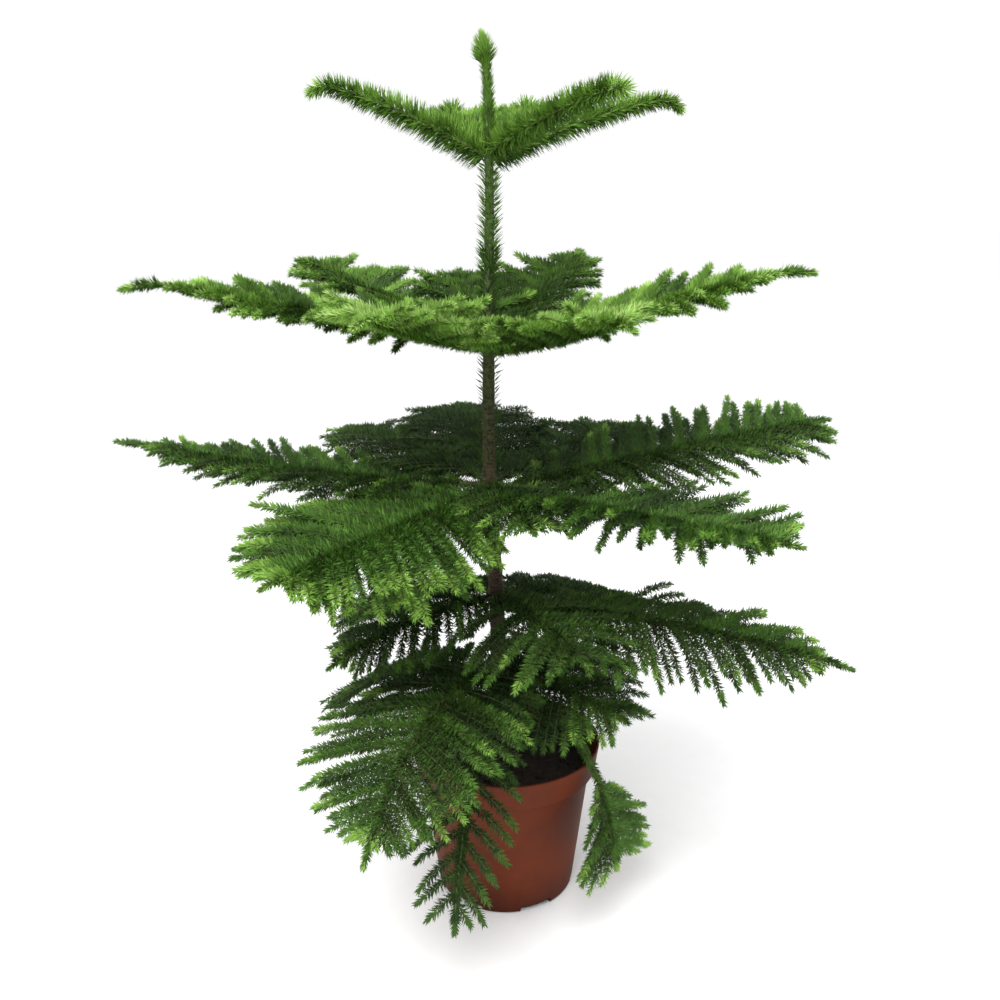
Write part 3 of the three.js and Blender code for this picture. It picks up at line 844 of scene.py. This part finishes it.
def side_shoot(branch, t, side):
    """Centre line of a side shoot, which leaves the branch forwards and droops, as far as it has room."""
    jitter = branch["rng"].uniform(-1, 1, 4)
    origin, along, across, up = frond_frame(branch, lerp(first_shoot(branch), branch["plume"], t))
    outer = branch.get("splay", SHOOT_ANGLE["outer"])
    angle = math.radians(lerp(SHOOT_ANGLE["inner"], outer, t) + SHOOT_ANGLE["jitter"] * jitter[0])
    length = branch["reach"] * frond_outline(t, branch["point"]) * (1 + LENGTH_JITTER * jitter[1])
    sag = (branch["sag"] + SCATTER * jitter[2]) * (np.arange(SHOOT_STEPS) + 0.5) / SHOOT_STEPS
    lift = branch["lift"] + SCATTER * jitter[3]
    heading = along * math.cos(angle) + across * side * math.sin(angle) + up * lift
    headings = unit(heading - UP * sag[:, None])
    points = np.concatenate([origin[None], origin + np.cumsum(headings * length / SHOOT_STEPS, 0)])
    blocked = np.flatnonzero(in_the_way(points, CLEARANCE["shoot"]))
    room = blocked[0] if len(blocked) else len(points)
    return (points[:room], up) if room >= LEAST_POINTS else None


def side_shoots(branch):
    """The side shoots of a branch, with their share of the way along its frond."""
    if branch["reach"] == 0:
        return
    leafy = branch["plume"] - first_shoot(branch)
    count = round(branch["length"] * leafy / branch["spacing"])
    for i in range(count):
        for side, share in PAIR_SHARES.items():
            t = (i + share) / count
            shoot = side_shoot(branch, t, side)
            if shoot:
                yield (*shoot, t)


# Needles

class Brushes:
    """Needles of one whorl, the trunk or the leading shoot, gathered by colour tone as rows of numbers."""

    def __init__(self):
        self.rows = {}

    def deal(self, tones, *columns):
        """Adds needles by tone: places, directions along and out of the shoot, facing, length and lean."""
        for tone in np.unique(tones):
            chosen = tones == tone
            self.rows.setdefault(str(tone), []).append([column[chosen] for column in columns])

    def mesh(self, name, tone):
        """Every needle is a folded blade from its root to its tip. Those with no room are left out."""
        columns = [np.concatenate(column) for column in zip(*self.rows[tone])]
        origin, along, out, facing, length, lean = columns
        heading = along * np.cos(lean)[:, None] + out * np.sin(lean)[:, None]
        side = unit(np.cross(heading, facing))
        back = np.cross(side, heading)
        reach = length[:, None]
        middle = origin + heading * reach * NEEDLE["widest"] - back * NEEDLE["fold"]
        half = side * NEEDLE["width"] / 2
        tip = origin + heading * reach
        kept = ~in_the_way(tip, CLEARANCE["needle"])
        corners = np.stack([origin, middle - half, middle + half, tip], 1)[kept]
        faces = np.array([(0, 2, 3), (0, 3, 1)])
        triangles = (np.arange(len(corners))[:, None, None] * 4 + faces).reshape(-1, 3)
        skin = Skin()
        skin.add(corners.reshape(-1, 3), triangles)
        return skin.mesh(name)

    def make_pieces(self, name, palette, materials, nodes):
        """A piece for each tone, in place of some of the frame's nodes."""
        for tone in sorted(self.rows):
            piece = f"{name}_{tone}_needles"
            plant_piece(piece, self.mesh(piece, tone), materials[palette, tone], nodes)


def brush(brushes, branch, points, up, dense, needle, flat, tones):
    """Needles in a spiral round a line, a tone darker on its underside as painted shade. tones gives each
    needle's place in the list of tones.
    """
    rng = branch["rng"]
    length = np.linalg.norm(np.diff(points, axis=0), axis=1).sum()
    count = int(length * dense)
    if count == 0:
        return
    order = np.arange(count)
    share = (order + rng.random(count)) / count
    origin, along = places_on(points, share)
    across = unit(np.cross(along, up))
    above = np.cross(across, along)
    spiral_jitter = rng.uniform(-NEEDLE["spiral_jitter"], NEEDLE["spiral_jitter"], count)
    angle = np.radians(GOLDEN_ANGLE * order + spiral_jitter)
    out = unit(across * np.cos(angle)[:, None] + above * (flat * np.sin(angle))[:, None])
    to_tip = np.clip(1 - (1 - share) * length / TIP["length"], 0, 1)
    lean = lerp(branch["lean"], TIP["lean"], to_tip ** TIP["closing"])
    lean = lean + NEEDLE["lean_jitter"] * rng.normal(size=count)
    sizes = needle * (1 - NEEDLE["length_jitter"] * rng.random(count)) * (1 - branch["taper"] * share**2)
    facing = above + NEEDLE["outward"] * out + NEEDLE["turn_jitter"] * rng.normal(size=(count, 3))
    pale = np.clip(1 - (1 - share) * length / branch.get("pale", TIP["length"]), 0, 1)
    # Needles on the shoot's underside step one tone darker, as painted shade
    tone = np.clip(tones(order, pale) - (np.sin(angle) < PAINTED_SHADE_BELOW), 0, len(TONES) - 1)
    brushes.deal(np.array(TONES)[tone], origin, along, out, facing, sizes, np.radians(lean))


def deal_tones(rng, count, freshness_and_lighting):
    """Places in the list of tones, paler ones likelier as the given shift is above 0. The shift is younger
    growth, and on single fronds also painted light on lit ones and painted shade on shaded ones.
    """
    drawn = np.clip(rng.random(count) + freshness_and_lighting, 0, LAST_DRAW)
    return 1 + np.searchsorted(np.cumsum(TONE_SHARES), drawn)


def spray_tone(rng, freshness_and_lighting):
    """Colour of a whole side shoot, paler at its tip."""
    tone = deal_tones(rng, 1, freshness_and_lighting)[0]
    return lambda order, pale: tone + (pale > PALE_FROM["shoot"])


def tuft_tones(rng, freshness_and_lighting):
    """Colours of a plume, dealt out to tufts of needles."""
    tufts = deal_tones(rng, TUFT_COUNT, freshness_and_lighting)

    def tones(order, pale):
        quarter = (GOLDEN_ANGLE * order % 360 // 90).astype(int)
        return tufts[(order // TUFT * 4 + quarter) % TUFT_COUNT] + (pale > PALE_FROM["plume"])

    return tones


def add_bough(boughs, branch):
    """Bare inner part of a branch, with a swollen root at the trunk and needle bases along it."""
    share = np.linspace(0, branch["limb"] + BOUGH["overlap"], BOUGH["rings"])
    points = places_on(branch["axis"], share)[0]
    length = share * branch["length"]
    radius = branch["stem"] * (1 - share / BOUGH["run_out"])
    radius = radius + BOUGH["root_swelling"] * np.exp(-length / BOUGH["root_length"])
    turns = np.arange(BOUGH["sides"]) / BOUGH["sides"]
    relief = BOUGH["bases"] * needle_bases(turns[None], length[:, None], **BOUGH_BASES)
    boughs.add_rings(rings_round(points, radius[:, None] + relief, BOUGH["sides"], UP))


def grow_branch(branch, twigs, boughs, brushes):
    """A branch with its bough, stem, side shoots and needles."""
    # Its fresh value shifts its tones: younger and older growth, and also painted light on lit fronds and
    # painted shade on shaded ones
    rng, axis, plume = branch["rng"], branch["axis"], branch["plume"]
    if branch["limb"] > 0:
        add_bough(boughs, branch)
    share = np.linspace(0, 1, AXIS_STEPS * 2 + 1)
    stem_share = share[share >= branch["limb"]]
    stem = places_on(axis, stem_share)[0]
    radii = branch["stem"] * (1 - stem_share / STEM["run_out"])
    twigs.add_rings(rings_round(stem, radii, STEM["sides"], UP))
    for points, up, t in side_shoots(branch):
        radii = np.linspace(TWIG["root"], TWIG["tip"], len(points))
        twigs.add_rings(rings_round(points, radii, TWIG["sides"], UP), open_start=True)
        tones = spray_tone(rng, branch["fresh"] + FRESHER_TIP * (t - 0.5))
        brush(brushes, branch, points, up, branch["dense"], branch["needle"], branch["flat"], tones)
    up = frond_frame(branch, 0.5)[3]
    root = ROOT / branch["length"]
    dense = branch["axis_dense"]
    tones = tuft_tones(rng, branch["fresh"])
    if plume > 0:
        inner = places_on(axis, np.linspace(root, plume, AXIS_BRUSH["inner_points"]))[0]
        brush(brushes, branch, inner, up, dense, branch["needle"], AXIS_BRUSH["flat"],
              lambda order, pale: tones(order, 0))
    outer = places_on(axis, np.linspace(max(plume, root), 1, AXIS_BRUSH["plume_points"]))[0]
    brush(brushes, branch, outer, up, dense, branch["plume_needle"], branch["flat"], tones)


def make_branches(materials):
    """All the branches, each whorl's twigs and each colour of its needles joined into a piece."""
    boughs = Skin()
    bough_nodes = []
    twig_materials = {
        palette: twig_material(f"{palette}_twigs", TWIG_COLOURS[palette]) for palette in PALETTES
    }
    branches = all_branches()
    for whorl in WHORLS:
        name, palette = whorl["name"], whorl["palette"]
        own = [branch for branch in branches if branch["name"] == name]
        sprays = [f"{name}_spray_{branch['number']}" for branch in own]
        twigs, brushes = Skin(), Brushes()
        for branch in own:
            grow_branch(branch, twigs, boughs, brushes)
            if branch["limb"] > 0:
                bough_nodes.append(f"{name}_bough_{branch['number']}")
        mesh = twigs.mesh(f"{name}_twigs")
        plant_piece(f"{name}_twigs", mesh, twig_materials[palette], sprays)
        brushes.make_pieces(name, palette, materials, sprays)
    bough_bark = twig_material("bough_bark", TWIG_COLOURS["bough"])
    plant_piece("bough_bark", boughs.mesh("bough_bark"), bough_bark, bough_nodes)


# Needles on the trunk and the leading shoot

def make_trunk_needles(materials):
    rng = np.random.default_rng(SEEDS["trunk"])
    spread = TRUNK_NEEDLE["spiral_jitter"]
    brushes = Brushes()
    for low, high, dense, needle, lean, tone in TRUNK_NEEDLES:
        count = int((high - low) * dense)
        origin = trunk_centre(lerp(low, high, (np.arange(count) + rng.random(count)) / count))
        angle = np.radians(GOLDEN_ANGLE * np.arange(count) + rng.uniform(-spread, spread, count))
        out = level_directions(angle)
        origin = origin + out * (trunk_radius(origin[:, 2]) - TRUNK_NEEDLE["sunk"])[:, None]
        leans = np.radians(lean + TRUNK_NEEDLE["lean_jitter"] * rng.normal(size=count))
        sizes = needle * (1 - TRUNK_NEEDLE["length_jitter"] * rng.random(count))
        facing = out + NEEDLE["turn_jitter"] * rng.normal(size=(count, 3))
        brushes.deal(np.full(count, tone), origin, np.broadcast_to(UP, out.shape), out, facing, sizes, leans)
    brushes.make_pieces("trunk", "young", materials, ["trunk"])


def make_leader(materials):
    """The leading shoot above the top whorl: a short stem in a tuft of needles that closes round the bud."""
    rng = np.random.default_rng(SEEDS["leader"])
    height = np.linspace(TRUNK["top"] - LEADER["sunk"], LEADER["top"], LEADER["rings"])
    radii = np.linspace(LEADER["radius"], LEADER["tip_radius"], LEADER["rings"])
    stem = Skin()
    stem.add_rings(rings_round(trunk_centre(height), radii, LEADER["sides"], BACK))
    bark = twig_material("leader_twig", TWIG_COLOURS["leader"])
    plant_piece("leader_stem", stem.mesh("leader_stem"), bark, ["leader_tuft"])
    count = LEADER["needles"]
    share = (np.arange(count) + rng.random(count)) / count
    origin = trunk_centre(lerp(LEADER["tuft_foot"], LEADER["tuft_top"], share))
    along = unit(trunk_centre(origin[:, 2] + 1) - origin)
    out = level_directions(np.radians(GOLDEN_ANGLE * np.arange(count)))
    out = unit(out - along * (out * along).sum(1)[:, None])
    lean = LEADER["lean"] * (1 - share ** LEADER["closing"]) * rng.random(count) ** LEADER["lean_bias"]
    length = LEADER["needle"] * (1 - LEADER["length_jitter"] * rng.random(count))
    facing = out + NEEDLE["turn_jitter"] * rng.normal(size=(count, 3))
    tones = np.where(share > LEADER["fresh_from"], "fresh", "leaf")
    brushes = Brushes()
    brushes.deal(tones, origin, along, out, facing, length, np.radians(lean + LEADER["least_lean"]))
    brushes.make_pieces("leader", "young", materials, ["leader_tuft"])


# Stage, light and camera

def make_stage():
    corners = FLOOR_REACH * np.array([(-1, -1, 0), (1, -1, 0), (1, 1, 0), (-1, 1, 0)], float)
    sheet = Skin()
    sheet.add(corners, np.array([(0, 1, 2), (0, 2, 3)]))
    new_object("floor", sheet.mesh("floor"), floor_material())


def make_light():
    scene = bpy.context.scene
    scene.view_settings.view_transform = "Standard"
    world = bpy.data.worlds.new("studio")
    world.use_nodes = True
    background = world.node_tree.nodes["Background"]
    background.inputs["Color"].default_value = (1, 1, 1, 1)
    background.inputs["Strength"].default_value = SKY
    scene.world = world
    lamp = bpy.data.lights.new("key", "AREA")
    lamp.size = LIGHT["size"]
    lamp.energy = LIGHT["power"]
    key = bpy.data.objects.new("key", lamp)
    key.location = LIGHT["place"]
    aim = Vector(LIGHT["target"]) - Vector(LIGHT["place"])
    key.rotation_euler = aim.to_track_quat("-Z", "Y").to_euler()
    scene.collection.objects.link(key)


def make_camera():
    camera = bpy.data.cameras.new("camera")
    camera.sensor_width = CAMERA["sensor"]
    camera.lens = CAMERA["lens"]
    eye = bpy.data.objects.new("camera", camera)
    eye.location = CAMERA["place"]
    eye.rotation_euler = (math.radians(90 - CAMERA["pitch"]), 0, 0)
    bpy.context.scene.collection.objects.link(eye)
    bpy.context.scene.camera = eye


make_camera()
make_light()
make_stage()
make_pot()
make_soil()
make_trunk()
tone_materials = needle_materials()
make_branches(tone_materials)
make_trunk_needles(tone_materials)
make_leader(tone_materials)
